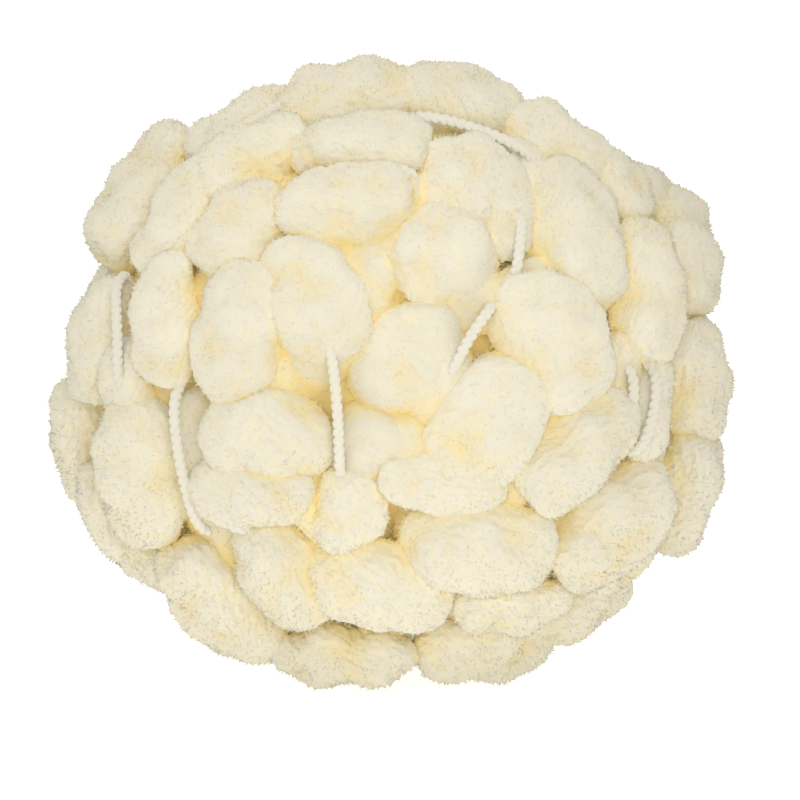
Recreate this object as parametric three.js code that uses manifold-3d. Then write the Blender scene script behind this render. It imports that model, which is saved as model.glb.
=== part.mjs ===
// A wound ball of pompom yarn: soft oval puffs strung on a thin twisted cord, wound round
// one axis into a slightly flattened ball that lies on a small flat spot.
// Millimetres, +Z up. The winding axis points to the front, -Y, and rises a little.
// The ball is modelled in its own frame first: x right, y up, z along the winding axis
// towards the front. It is then tipped back and set down on the table.
import * as THREE from "three";
import { mergeVertices } from "three/addons/utils/BufferGeometryUtils.js";
import Module from "manifold-3d";

// Driving sizes, over the puffs
const BALL_WIDTH = 172;
const BALL_HEIGHT = 160;
const BALL_DEPTH = 152;
const AXIS_RISE = 15; // degrees that the winding axis rises towards the front
const REST_HEIGHT = 75; // from the table to the ball's middle, with the lowest puffs pressed flat
const PUFF_LONG = 36; // a puff's length along the cord
const PUFF_WIDE = 24; // a puff's width
const PRESSED = 0.92; // a wound puff's thickness as a share of its width
const CORD_WIDE = 3; // the twisted cord's thickness
const CORE_INSET = { side: 9.5, front: 15 }; // how far the packed inner turns lie under the skin
const FORWARD = 6; // how much wider the front puffs' seat is, so that the rim's lie forward of the middle
const CROWDED = 1.15; // neighbours press together, so a puff is this much larger than what shows of it

// Puffs on the front half, one row each, in millimetres from the winding axis.
// right, up: the middle's place as seen from the front; turn: degrees from level to the
// long axis; long, wide: the part that shows; back: how far the puff sits behind the
// ball's skin, along the winding axis.
const FRONT_COLUMNS = ["right", "up", "turn", "long", "wide", "back"];
const RIM_PUFFS = [
  [-61.5, 44, 59, 39, 21, 0],
  [-36.5, 59.5, 35, 30, 18, 6],
  [-10, 67.5, 10, 36, 20, 0],
  [16.5, 66.5, -17, 28, 20, 0],
  [32, 62, -15, 20, 12, 10],
  [41.5, 56, -32, 28, 17, 2],
  [53, 48, -42, 26, 15, 5],
  [64.5, 43.5, -38, 26, 15, 9],
  [73.5, 30, -78, 33, 18, 0],
  [75, -3, -84, 29, 19, 6],
  [73, -30, 77, 32, 19, 4],
  [59, -45, 50, 24, 14, 8],
  [45.5, -59, 29, 29, 15.5, 8],
  [22, -69.5, 2, 35.5, 17, 4],
  [-11.5, -71, 2, 33, 16.5, 0],
  [-42, -57, -48, 38, 23, 0],
  [-61.5, -48, -42, 20, 12, 10],
  [-70, -36, -66, 27, 14, 8],
  [-78.5, -17.5, -87, 29.5, 16, 8],
  [-72, 8, 77, 30, 16.5, 4],
];
const FACE_PUFFS = [
  [-51, 39, 57, 33, 16, 0],
  [-35, 51.5, 35, 30, 18, 0],
  [-37.5, 35, 48, 26, 19, 0],
  [-7.5, 55, 3, 31, 16, 1],
  [-11, 40.5, 7, 33.5, 18.5, 0],
  [17.5, 45, 82, 27, 21, 2],
  [26.5, 41.5, -83, 28, 15, 5],
  [34.5, 47.5, -60, 20, 13, 8],
  [11.5, 28.5, 20, 24.5, 22, 1],
  [44.5, 33, -70, 36, 23, 0],
  [63, 20, -87, 35, 17, 0],
  [39, 7.5, -68, 35, 25, 0],
  [55, -2, 85, 20, 13, 8],
  [63, -8.5, 84, 26, 13, 8],
  [45.5, -19.5, 50, 32, 20.5, 0],
  [54, -38, 44, 34.5, 23, 0],
  [30, -59, 5, 27, 13, 6],
  [21.5, -44, -2, 35.5, 23, 0],
  [-4, -53, -12, 34, 21, 0],
  [-27, -50, -55, 28.5, 20, 1],
  [-62, -25.5, -84, 36, 22.5, 0],
  [-64, -4, 86, 24, 15, 6],
  [-56, 12, 86, 30, 15.5, 0],
  [-37, 8.5, 83, 33, 21, 0],
  [-31, -16, -8, 30, 21, 0],
  [-34.5, -30, -4, 29, 16, 1],
  [-11.5, -35, 80, 20, 16, 3],
  [12.5, -27.5, -6, 30, 14, 4],
  [23, -13.5, 58, 32, 23.5, 1],
  [-18.5, 17.5, -65, 29.5, 23, 0],
  [-5, 25.5, 80, 20, 16, 9],
  [-1.5, 12.5, 0, 18, 14, 17],
  [-23.5, -1, 75, 22, 17, 13],
  [3.5, 3, 36, 30, 23.5, 8],
  [-1.5, -20.5, -5, 25, 20, 9],
];

// Turns round the back, one row each, in degrees. off: from the front end of the axis;
// start: bearing of the first puff; swing: how far the puffs turn out of the ring; deep:
// how far they lie under the skin, in millimetres.
const BACK_TURNS = [
  { off: 90, puffs: 13, start: 6, swing: 8, deep: 3.5 },
  { off: 107, puffs: 12, start: -6, swing: -12, deep: 0 },
  { off: 124, puffs: 10, start: 0, swing: 18, deep: 0 },
  { off: 142, puffs: 7, start: 33, swing: -24, deep: 0 },
  { off: 159, puffs: 5, start: 10, swing: 30, deep: 0 },
  { off: 176, puffs: 1, start: 70, swing: 0, deep: 0 },
];
const UNEVEN = { off: 5, bearing: 6, swing: 14, size: 0.12, sink: 2 }; // the most that a back puff strays

// Cord stretches that lie over the puffs, one row each, in millimetres: both ends as
// seen from the front, how far they sit behind the skin, and the sideways bow.
const CORD_COLUMNS = ["fromRight", "fromUp", "toRight", "toUp", "back", "bow"];
const FRONT_CORDS = [
  [-27, 69.5, -53.5, 49.5, 3, 2],
  [2, 65, 38, 53, 3, 1.5],
  [-14, 48, 6.5, 49.5, 3, 1],
  [-70, 25.5, -69, -7, 2, 1],
  [-55, -3.5, -48, -43, 3, -1],
  [-46, -37, -36.5, -41, 2, 1],
  [-16, 11.5, -13, -29, 4, 1],
  [26, 17, 14.5, -2, 5, -1],
  [32.5, 40, 31, 23.5, 3, 0],
  [60.5, 2, 57, -22.5, 5, 1],
  [66.5, 2, 62, -22, 3, 1],
];

// Cord stretches round the back, one row each, in degrees: off and bearing of both ends.
const BACK_CORDS = [
  [98, 28, 118, 42],
  [100, 76, 124, 68],
  [96, 128, 116, 144],
  [110, 192, 134, 180],
  [98, 234, 120, 250],
  [104, 302, 128, 292],
  [134, 30, 154, 62],
  [138, 118, 160, 150],
  [136, 232, 158, 262],
];
const CORD_SINK = 3; // how far a back stretch lies under the skin

const SKIN = new THREE.Vector3(BALL_WIDTH / 2, BALL_HEIGHT / 2, BALL_DEPTH / 2);
const radians = THREE.MathUtils.degToRad;

// A number from -1 to 1 for each n, spread evenly by the golden ratio.
function stray(n, column) {
  const share = (n * 0.618034 + column * 0.381966 * 1.7) % 1;
  return 2 * share - 1;
}

// The outward direction of the ball's skin at a point.
function outward(point) {
  return new THREE.Vector3(point.x / SKIN.x ** 2, point.y / SKIN.y ** 2, point.z / SKIN.z ** 2).normalize();
}

// The point on the front half of the ball, inset under its skin, that is seen at right, up.
function underSkin(right, up, inset, back) {
  const seat = SKIN.clone().subScalar(inset);
  const left = 1 - (right / (seat.x + FORWARD)) ** 2 - (up / (seat.y + FORWARD)) ** 2;
  return new THREE.Vector3(right, up, seat.z * Math.sqrt(Math.max(0, left)) - back);
}

// The point inset under the ball's skin at two angles: off the front end of the winding
// axis, and the bearing round it.
function roundTheAxis(off, bearing, inset) {
  const way = new THREE.Vector3(Math.sin(off) * Math.cos(bearing), Math.sin(off) * Math.sin(bearing), Math.cos(off));
  return way.multiply(SKIN.clone().subScalar(inset));
}

// A puff's matrix: x across, y along the cord, z out of the ball.
function puffMatrix(middle, along, { long, wide }) {
  const out = outward(middle);
  out.addScaledVector(along, -out.dot(along)).normalize();
  const across = new THREE.Vector3().crossVectors(along, out);
  return new THREE.Matrix4()
    .makeBasis(across, along, out)
    .scale(new THREE.Vector3(wide / 2, long / 2, (wide * PRESSED) / 2))
    .setPosition(middle);
}

// A front puff lies along the skin, in the direction that its turn gives from the front.
function frontPuff(row) {
  const [right, up, turn, shownLong, shownWide, back] = row;
  const long = shownLong * CROWDED;
  const wide = shownWide * CROWDED;
  const middle = underSkin(right, up, (wide * PRESSED) / 2, back);
  const out = outward(middle);
  const angle = radians(turn);
  const slope = -(out.x * Math.cos(angle) + out.y * Math.sin(angle)) / Math.max(out.z, 0.35);
  const along = new THREE.Vector3(Math.cos(angle), Math.sin(angle), THREE.MathUtils.clamp(slope, -0.7, 0.7));
  return puffMatrix(middle, along.normalize(), { long, wide });
}

// A back puff lies along its turn round the axis, and strays a little from it.
function backPuff(turn, i, n) {
  const off = radians(turn.off + UNEVEN.off * stray(n, 1));
  const bearing = radians(turn.start + (360 * i) / turn.puffs + UNEVEN.bearing * stray(n, 2));
  const inset = (PUFF_WIDE * PRESSED) / 2 + turn.deep + UNEVEN.sink * 0.5 * (1 + stray(n, 3));
  const middle = roundTheAxis(off, bearing, inset);
  const out = outward(middle);
  const round = new THREE.Vector3(-Math.sin(bearing), Math.cos(bearing), 0);
  round.addScaledVector(out, -out.dot(round)).normalize();
  round.applyAxisAngle(out, radians(turn.swing + UNEVEN.swing * stray(n, 4)));
  const size = 1 + UNEVEN.size * stray(n, 5);
  return puffMatrix(middle, round, { long: PUFF_LONG * size, wide: PUFF_WIDE * (2 - size) });
}

// A unit puff: an oval with blunt ends, as a profile turned round the cord.
function puffGeometry() {
  const STEPS = 5;
  const BLUNT = 0.72; // under 1, the ends are fuller than a plain ellipsoid's
  const profile = [];
  for (let i = 0; i <= STEPS; i++) {
    const angle = (Math.PI * i) / STEPS;
    const inner = i > 0 && i < STEPS;
    profile.push(new THREE.Vector2(inner ? Math.sin(angle) ** BLUNT : 0, -Math.cos(angle)));
  }
  return new THREE.LatheGeometry(profile, 7);
}

// The point of a front stretch at a share t of its length.
function frontCordPoint([fromRight, fromUp, toRight, toUp, back, bow], t) {
  const across = new THREE.Vector2(fromUp - toUp, toRight - fromRight).normalize();
  const swell = bow * Math.sin(Math.PI * t);
  const right = THREE.MathUtils.lerp(fromRight, toRight, t) + across.x * swell;
  const up = THREE.MathUtils.lerp(fromUp, toUp, t) + across.y * swell;
  return underSkin(right, up, CORD_WIDE / 2, back);
}

// The point of a back stretch at a share t of its length.
function backCordPoint([fromOff, fromBearing, toOff, toBearing], t) {
  const off = radians(THREE.MathUtils.lerp(fromOff, toOff, t));
  const bearing = radians(THREE.MathUtils.lerp(fromBearing, toBearing, t));
  return roundTheAxis(off, bearing, CORD_WIDE / 2 + CORD_SINK);
}

// A cord stretch: a six-sided tube that follows the skin between its two ends.
function cordGeometry(row, pointAt) {
  const SPANS = 4;
  const points = Array.from({ length: SPANS + 1 }, (_, i) => pointAt(row, i / SPANS));
  const section = new THREE.Shape();
  section.absarc(0, 0, CORD_WIDE / 2, 0, 2 * Math.PI);
  return new THREE.ExtrudeGeometry(section, {
    extrudePath: new THREE.CatmullRomCurve3(points),
    steps: SPANS,
    curveSegments: 3,
  });
}

const wasm = await Module();
wasm.setup();

// A closed mesh as a solid for joining and cutting.
function solid(geometry, matrix = new THREE.Matrix4()) {
  const plain = geometry.clone().applyMatrix4(matrix);
  plain.deleteAttribute("normal");
  plain.deleteAttribute("uv");
  const merged = mergeVertices(plain, 1e-4);
  return new wasm.Manifold(
    new wasm.Mesh({
      numProp: 3,
      vertProperties: merged.attributes.position.array,
      triVerts: new Uint32Array(merged.index.array),
    }),
  );
}

// A solid's surface as a geometry for a mesh.
function surface(made) {
  const mesh = made.getMesh();
  const geometry = new THREE.BufferGeometry();
  geometry.setAttribute("position", new THREE.BufferAttribute(new Float32Array(mesh.vertProperties), 3));
  geometry.setIndex(new THREE.BufferAttribute(new Uint32Array(mesh.triVerts), 1));
  geometry.computeVertexNormals();
  return geometry;
}

// The packed inner turns, as one plain body under the puffs.
function coreSolid() {
  const size = new THREE.Matrix4().makeScale(
    SKIN.x - CORE_INSET.side,
    SKIN.y - CORE_INSET.side,
    SKIN.z - CORE_INSET.front,
  );
  return solid(new THREE.IcosahedronGeometry(1, 3), size);
}

function puffSolids() {
  const puff = puffGeometry();
  const matrices = [...RIM_PUFFS, ...FACE_PUFFS].map(frontPuff);
  let n = 0;
  for (const turn of BACK_TURNS) {
    for (let i = 0; i < turn.puffs; i++) {
      matrices.push(backPuff(turn, i, n));
      n += 1;
    }
  }
  return matrices.map((matrix) => solid(puff, matrix));
}

// The ball tipped back on the table, at z = 0, with what would sink into it cut off.
function setDown(ball) {
  const tipped = new THREE.Matrix4().makeRotationX(radians(90 - AXIS_RISE)).setPosition(0, 0, REST_HEIGHT);
  const table = new THREE.BoxGeometry(2 * BALL_WIDTH, 2 * BALL_WIDTH, BALL_HEIGHT);
  const under = new THREE.Matrix4().makeTranslation(0, 0, -BALL_HEIGHT / 2);
  return ball.transform(tipped.elements).subtract(solid(table, under));
}

// The outer skin alone: small hollows sealed between the puffs are filled, and slivers
// where puffs cross are smoothed away.
function filled(made) {
  const FINEST = 2;
  const bodies = made.simplify(FINEST).decompose();
  return bodies.reduce((most, body) => (body.volume() > most.volume() ? body : most));
}

const frontCords = FRONT_CORDS.map((row) => solid(cordGeometry(row, frontCordPoint)));
const backCords = BACK_CORDS.map((row) => solid(cordGeometry(row, backCordPoint)));
const wound = wasm.Manifold.union([coreSolid(), ...puffSolids(), ...frontCords, ...backCords]);

const ball = new THREE.Mesh(
  surface(filled(setDown(wound))),
  new THREE.MeshStandardMaterial({ color: "#f3ead0", roughness: 1, metalness: 0 }),
);
ball.name = "yarn_ball";

const part = new THREE.Group();
part.add(ball);
export default part;
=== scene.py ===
"""Looks of a wound ball of pom pom yarn: plush oval puffs on a thin twisted cord.

The ball is worked out in its own frame first, in millimetres: x right, y up, z along
the winding axis towards the front. It is then tipped back and set down on the table, in
metres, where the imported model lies. Shapes are numpy arrays from start to end, and each
repeated shape is computed for all its copies at once.
"""

from __future__ import annotations

import logging
import math
from collections.abc import Sequence
from dataclasses import dataclass, field
from enum import Enum

import bpy
import numpy as np
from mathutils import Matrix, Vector


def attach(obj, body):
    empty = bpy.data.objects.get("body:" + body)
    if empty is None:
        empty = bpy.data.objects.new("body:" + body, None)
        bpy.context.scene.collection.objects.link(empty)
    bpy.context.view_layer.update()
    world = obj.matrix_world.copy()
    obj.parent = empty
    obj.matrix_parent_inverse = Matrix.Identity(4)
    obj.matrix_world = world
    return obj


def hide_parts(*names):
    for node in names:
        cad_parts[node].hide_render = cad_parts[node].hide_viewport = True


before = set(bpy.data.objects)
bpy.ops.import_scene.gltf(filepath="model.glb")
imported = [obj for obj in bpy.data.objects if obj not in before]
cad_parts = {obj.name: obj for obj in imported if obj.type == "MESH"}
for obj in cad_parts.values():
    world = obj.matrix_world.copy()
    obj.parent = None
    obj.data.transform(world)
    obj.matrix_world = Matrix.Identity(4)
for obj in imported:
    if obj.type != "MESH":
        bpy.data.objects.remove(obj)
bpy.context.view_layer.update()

Array = np.ndarray
Rows = Sequence[Sequence[float]]
Random = np.random.Generator
Material = bpy.types.Material
Node = bpy.types.Node
Socket = bpy.types.NodeSocket
LOG = logging.getLogger("pom_pom_yarn")
MM = 0.001
SEED = 25

PUFF_LONG = 36.0  # a back or inner puff's length along the cord, mm
PUFF_WIDE = 24.0  # its width, mm
PRESSED = 0.92  # a wound puff's thickness as a share of its width
CROWDED = 1.15  # neighbours press together, so a puff is this much larger than what shows of it
CORD_WIDE = 3.0  # the twisted cord's thickness, mm

# Feelers that tell how crowded the pile is: the length of the one straight out, mm, the
# length, mm, and lean, degrees, of the rings of them that lean out, and their bearings.
STRAIGHT_FEELER = 6.0
LEANING_FEELERS = ((2.5, 62.0), (6.0, 50.0), (11.0, 35.0))
FEELER_BEARINGS = (0.0, 90.0, 180.0, 270.0)
DARK_FROM, DARK_OVER = 12.0, 8.0  # depths under the skin over which light fades out, mm

# Puffs that show from the front, one row each, in mm and degrees: right and up of the
# winding axis, turn from level to the long axis, the length and width that show, and
# how far back the puff sits behind the ball's skin.
RIM_PUFFS = (
    (-61.5, 44, 59, 39, 21, 0),
    (-36.5, 59.5, 35, 30, 18, 6),
    (-10, 67.5, 10, 36, 20, 0),
    (16.5, 66.5, -17, 28, 20, 0),
    (32, 62, -15, 20, 12, 10),
    (41.5, 56, -32, 28, 17, 2),
    (53, 48, -42, 26, 15, 5),
    (64.5, 43.5, -38, 26, 15, 9),
    (73.5, 30, -78, 33, 18, 0),
    (75, -3, -84, 29, 19, 6),
    (73, -30, 77, 32, 19, 4),
    (59, -45, 50, 24, 14, 8),
    (45.5, -59, 29, 29, 15.5, 8),
    (22, -69.5, 2, 35.5, 17, 4),
    (-11.5, -71, 2, 33, 16.5, 0),
    (-42, -57, -48, 38, 23, 0),
    (-61.5, -48, -42, 20, 12, 10),
    (-70, -36, -66, 27, 14, 8),
    (-78.5, -17.5, -87, 29.5, 16, 8),
    (-72, 8, 77, 30, 16.5, 4),
)
UPPER_PUFFS = (
    (-51, 39, 57, 33, 16, 0),
    (-35, 51.5, 35, 30, 18, 0),
    (-37.5, 35, 48, 26, 19, 0),
    (-7.5, 55, 3, 31, 16, 1),
    (-11, 40.5, 7, 33.5, 18.5, 0),
    (17.5, 45, 82, 27, 21, 2),
    (26.5, 41.5, -83, 28, 15, 5),
    (34.5, 47.5, -60, 20, 13, 8),
    (11.5, 28.5, 20, 24.5, 22, 1),
    (44.5, 33, -70, 36, 23, 0),
    (63, 20, -87, 35, 17, 0),
    (39, 7.5, -68, 35, 25, 0),
    (-56, 12, 86, 30, 15.5, 0),
    (-37, 8.5, 83, 33, 21, 0),
    (-18.5, 17.5, -65, 29.5, 23, 0),
    (-5, 25.5, 80, 20, 16, 9),
    (-1.5, 12.5, 0, 18, 14, 17),
)
LOWER_PUFFS = (
    (55, -2, 85, 20, 13, 8),
    (63, -8.5, 84, 26, 13, 8),
    (45.5, -19.5, 50, 32, 20.5, 0),
    (54, -38, 44, 34.5, 23, 0),
    (30, -59, 5, 27, 13, 6),
    (21.5, -44, -2, 35.5, 23, 0),
    (-4, -53, -12, 34, 21, 0),
    (-27, -50, -55, 28.5, 20, 1),
    (-62, -25.5, -84, 36, 22.5, 0),
    (-64, -4, 86, 24, 15, 6),
    (-31, -16, -8, 30, 21, 0),
    (-34.5, -30, -4, 29, 16, 1),
    (-11.5, -35, 80, 20, 16, 3),
    (12.5, -27.5, -6, 30, 14, 4),
    (23, -13.5, 58, 32, 23.5, 1),
    (-23.5, -1, 75, 22, 17, 13),
    (3.5, 3, 36, 30, 23.5, 8),
    (-1.5, -20.5, -5, 25, 20, 9),
)

# Turns round the sides and the back: degrees off the front end of the axis, number of
# puffs, the first puff's bearing and how far the puffs turn out of the ring, in degrees,
# and how far they lie under the skin, mm.
ROUND_TURNS = {
    "side_turn": ((90, 13, 6, 8, 3.5),),
    "second_turn": ((107, 12, -6, -12, 0),),
    "third_turn": ((124, 10, 0, 18, 0),),
    "back_turns": ((142, 7, 33, -24, 0), (159, 5, 10, 30, 0), (176, 1, 70, 0, 0)),
}

# Cord stretches over the puffs, one row each, in mm: right and up of both ends as seen
# from the front, how far they sit behind the skin, and the sideways bow.
FRONT_CORDS = (
    (-27, 69.5, -53.5, 49.5, 3, 2),
    (2, 65, 38, 53, 3, 1.5),
    (-14, 48, 6.5, 49.5, 3, 1),
    (-70, 25.5, -69, -7, 2, 1),
    (-55, -3.5, -48, -43, 3, -1),
    (-46, -37, -36.5, -41, 2, 1),
    (-16, 11.5, -13, -29, 4, 1),
    (26, 17, 14.5, -2, 5, -1),
    (32.5, 40, 31, 23.5, 3, 0),
    (60.5, 2, 57, -22.5, 5, 1),
    (66.5, 2, 62, -22, 3, 1),
)

# Cord stretches round the back, one row each, in degrees: both ends' place off the front
# end of the axis, and their bearing.
BACK_CORDS = (
    (98, 28, 118, 42),
    (100, 76, 124, 68),
    (96, 128, 116, 144),
    (110, 192, 134, 180),
    (98, 234, 120, 250),
    (104, 302, 128, 292),
    (134, 30, 154, 62),
    (138, 118, 160, 150),
    (136, 232, 158, 262),
)


def linear(hex_colour: str) -> tuple[float, float, float, float]:
    """Turns an sRGB hex colour to the linear colour that a shader takes.

    Args:
        hex_colour: Six hex digits after a hash.

    Returns:
        Linear red, green, blue and an alpha of 1.
    """
    srgb = [int(hex_colour[i : i + 2], 16) / 255 for i in (1, 3, 5)]
    r, g, b = (c / 12.92 if c <= 0.04045 else ((c + 0.055) / 1.055) ** 2.4 for c in srgb)
    return r, g, b, 1.0


def unit(vectors: Array) -> Array:
    """Returns the vectors, in the last axis, at length 1."""
    return vectors / np.maximum(np.linalg.norm(vectors, axis=-1, keepdims=True), 1e-9)


def square_to(ways: Array, hint: Array) -> tuple[Array, Array]:
    """Returns two unit directions square to each way and to each other. The hint is any
    direction that isn't along a way."""
    side = unit(np.cross(ways, hint))
    return side, np.cross(ways, side)


def off_axis(flat: Array, bearing: Array, high: Array) -> Array:
    """Returns directions by their part square to the winding axis, their bearing round
    it and their part along it."""
    return np.stack([flat * np.cos(bearing), flat * np.sin(bearing), high], axis=1)


def copied(faces: Array, points: int, copies: int) -> Array:
    """Returns the triangles of copies of a form that has so many points, numbered on."""
    return (faces[None] + points * np.arange(copies)[:, None, None]).reshape(-1, 3)


def stray(n: Array, column: int) -> Array:
    """Spreads unevenness from -1 to 1 over whole numbers, by the golden ratio.

    Args:
        n: Whole numbers, one for each copy.
        column: Which of a copy's features the value is for.

    Returns:
        One value from -1 to 1 for each n.
    """
    return 2 * ((n * 0.618034 + column * 0.381966 * 1.7) % 1) - 1


@dataclass(frozen=True)
class BallForm:
    """The ball's outer form: an ellipsoid skin that the puffs reach, tipped and set down."""

    width: float = 172.0  # size from left to right, mm
    height: float = 160.0  # size across the winding axis, mm
    depth: float = 152.0  # size along the winding axis, mm
    axis_rise: float = 15.0  # how far the winding axis rises towards the front, degrees
    rest_height: float = 75.0  # from the table to the ball's middle, mm
    forward: float = 6.0  # how much wider the front puffs' seat is, mm
    press: float = 1.2  # the layer over the table in which pile is pressed flat, mm

    @property
    def skin(self) -> Array:
        """The skin's half sizes along x, y and z, mm."""
        return np.array([self.width, self.height, self.depth]) / 2

    def outward(self, points: Array) -> Array:
        """Returns the unit gradient of the skin's ellipsoid at each point."""
        return unit(points / self.skin**2)

    def under_skin(self, right: Array, up: Array, inset: Array | float, back: Array | float) -> Array:
        """Finds the points that are seen at right, up on the front half.

        The depth is that of an ellipsoid smaller than the skin by the inset, and wider
        by `forward` so that the rim lies in front of the ball's middle.

        Args:
            right: Place to the right of the winding axis, mm.
            up: Place above the winding axis, mm.
            inset: How far the ellipsoid lies inside the skin, mm.
            back: How far the points sit behind it, along the axis, mm.

        Returns:
            Points in the ball's frame, mm.
        """
        a, b, c = (half - inset for half in self.skin)
        left = 1 - (right / (a + self.forward)) ** 2 - (up / (b + self.forward)) ** 2
        return np.stack([right, up, c * np.sqrt(np.maximum(left, 0)) - back], axis=-1)

    def tipped(self, vectors: Array) -> Array:
        """Turns vectors from the ball's frame to the room's, tipped by the axis rise."""
        lift = math.radians(90 - self.axis_rise)
        x, y, z = vectors.T
        deep = y * math.cos(lift) - z * math.sin(lift)
        return np.stack([x, deep, y * math.sin(lift) + z * math.cos(lift)], axis=1)

    def to_room(self, points: Array) -> Array:
        """Tips points back and sets them on the table.

        Under the press height z falls off as press * exp((z - press) / press), which
        meets the free pile smoothly and never reaches the table.

        Args:
            points: Points in the ball's frame, m x 3, mm.

        Returns:
            Points in the room, m x 3, m.
        """
        x, deep, high = self.tipped(points).T
        high = high + self.rest_height
        pressed = self.press * np.exp((np.minimum(high, self.press) - self.press) / self.press)
        return np.stack([x, deep, np.where(high < self.press, pressed, high)], axis=1) * MM


@dataclass(frozen=True)
class Puffs:
    """Placed puffs, each a blunt oval: across, along the cord, and out of the ball."""

    form: BallForm  # the ball
    middles: Array  # middles in the ball's frame, n x 3, mm
    axes: Array  # unit vectors across, along and out, n x 3 x 3
    halves: Array  # half sizes across, along and out, n x 3, mm

    BLUNT = 0.72  # the radius goes with the sine of the polar angle to this power
    ROUNDER = 1.1  # square of how much farther a blunt puff reaches than its half size
    STEEPEST = 0.7  # steepest slope to the front that a front puff's long axis takes
    EDGE_ON = 0.35  # least share of the skin's normal that is taken to face the front
    OFF_STRAY = 5.0  # how far ringed puffs stray off their ring, degrees
    BEARING_STRAY = 6.0  # how far they stray along it, degrees
    DEPTH_STRAY = 1.0  # how far they stray in or out, mm
    TURN_STRAY = 14.0  # how far they stray in their turn, degrees
    SIZE_STRAY = 0.12  # how much longer and thinner they get, or shorter and wider

    @classmethod
    def laid(cls, form: BallForm, middles: Array, along: Array, long: Array, wide: Array) -> Puffs:
        """Lays puffs along given directions, square to the skin.

        Args:
            form: The ball.
            middles: Middles, n x 3, mm.
            along: Unit directions of the cord in them, n x 3.
            long: Lengths, mm.
            wide: Widths, mm.

        Returns:
            The placed puffs.
        """
        out = form.outward(middles)
        out = unit(out - along * np.sum(out * along, axis=1, keepdims=True))
        axes = np.stack([np.cross(along, out), along, out], axis=1)
        return cls(form, middles, axes, np.stack([wide, long, wide * PRESSED], axis=1) / 2)

    @classmethod
    def seen(cls, form: BallForm, rows: Rows) -> Puffs:
        """Lays the puffs of a front table: the long axis follows the skin in its turn.

        Args:
            form: The ball.
            rows: Rows of right, up, turn, long, wide and back.

        Returns:
            The placed puffs.
        """
        right, up, turn, long, wide, back = np.array(rows, dtype=float).T
        long, wide = long * CROWDED, wide * CROWDED
        middles = form.under_skin(right, up, wide * PRESSED / 2, back)
        out = form.outward(middles)
        x, y = np.cos(np.radians(turn)), np.sin(np.radians(turn))
        slope = -(out[:, 0] * x + out[:, 1] * y) / np.maximum(out[:, 2], cls.EDGE_ON)
        along = unit(np.stack([x, y, np.clip(slope, -cls.STEEPEST, cls.STEEPEST)], axis=1))
        return cls.laid(form, middles, along, long, wide)

    @classmethod
    def ringed(cls, form: BallForm, turns: Rows, first: int) -> Puffs:
        """Lays rings of puffs round the winding axis, each a little out of line.

        Args:
            form: The ball.
            turns: Rows of off, number of puffs, start and swing, in degrees, and depth, mm.
            first: The number of the first puff, for its unevenness.

        Returns:
            The placed puffs.
        """
        count = np.array([turn[1] for turn in turns])
        off, _, start, swing, deep = np.repeat(np.array(turns, dtype=float), count, axis=0).T
        in_turn = np.concatenate([np.arange(c) for c in count])
        n = first + np.arange(len(in_turn))
        off = np.radians(off + cls.OFF_STRAY * stray(n, 1))
        evenly = start + 360 * in_turn / np.repeat(count, count)
        bearing = np.radians(evenly + cls.BEARING_STRAY * stray(n, 2))
        inset = PUFF_WIDE * PRESSED / 2 + deep + cls.DEPTH_STRAY + cls.DEPTH_STRAY * stray(n, 3)
        middles = off_axis(np.sin(off), bearing, np.cos(off)) * (form.skin - inset[:, None])
        turn = swing + cls.TURN_STRAY * stray(n, 4)
        size = 1 + cls.SIZE_STRAY * stray(n, 5)
        return cls.round_axis(form, middles, bearing, turn, PUFF_LONG * size, PUFF_WIDE * (2 - size))

    @classmethod
    def round_axis(
        cls, form: BallForm, middles: Array, bearing: Array, turn: Array, long: Array, wide: Array
    ) -> Puffs:
        """Lays puffs along rings round the winding axis, turned out of them on the skin.

        Args:
            form: The ball.
            middles: Middles, n x 3, mm.
            bearing: Their bearings round the axis, in radians.
            turn: How far each puff turns out of its ring, degrees.
            long: Lengths, mm.
            wide: Widths, mm.

        Returns:
            The placed puffs.
        """
        out = form.outward(middles)
        ring = np.stack([-np.sin(bearing), np.cos(bearing), 0 * bearing], axis=1)
        ring = unit(ring - out * np.sum(out * ring, axis=1, keepdims=True))
        turn = np.radians(turn)[:, None]
        along = ring * np.cos(turn) + np.cross(out, ring) * np.sin(turn)
        return cls.laid(form, middles, along, long, wide)

    @classmethod
    def joined(cls, sets: Sequence[Puffs]) -> Puffs:
        """Returns one set of all the puffs of several sets."""
        parts = [(s.middles, s.axes, s.halves) for s in sets]
        return cls(sets[0].form, *(np.concatenate(column) for column in zip(*parts)))

    def holds(self, which: int, points: Array, grow: float) -> Array:
        """Tells which points lie in one puff.

        In half sizes its radius is (1 - along^2) ^ (blunt / 2).

        Args:
            which: The puff's number.
            points: Points, m x 3, mm.
            grow: How much larger the puff is taken, mm.

        Returns:
            True for each point inside.
        """
        local = (points - self.middles[which]) @ self.axes[which].T / (self.halves[which] + grow)
        reach = np.maximum(1 - local[:, 1] ** 2, 0) ** self.BLUNT
        return local[:, 0] ** 2 + local[:, 2] ** 2 < reach

    def cover(self, points: Array, grow: float = 0.0, owners: Array | None = None) -> Array:
        """Tells which points lie in any puff but their own.

        Args:
            points: Points, m x 3, mm.
            grow: How much larger the puffs are taken, mm.
            owners: The number of the puff to leave out for each point, if any.

        Returns:
            True for each covered point.
        """
        covered = np.zeros(len(points), dtype=bool)
        for which, middle in enumerate(self.middles):
            reach = (self.halves[which].max() + grow) ** 2 * self.ROUNDER
            near = (np.sum((points - middle) ** 2, axis=1) < reach) & ~covered
            if owners is not None:
                near &= owners != which
            spots = np.flatnonzero(near)
            covered[spots] = self.holds(which, points[spots], grow)
        return covered

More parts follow.
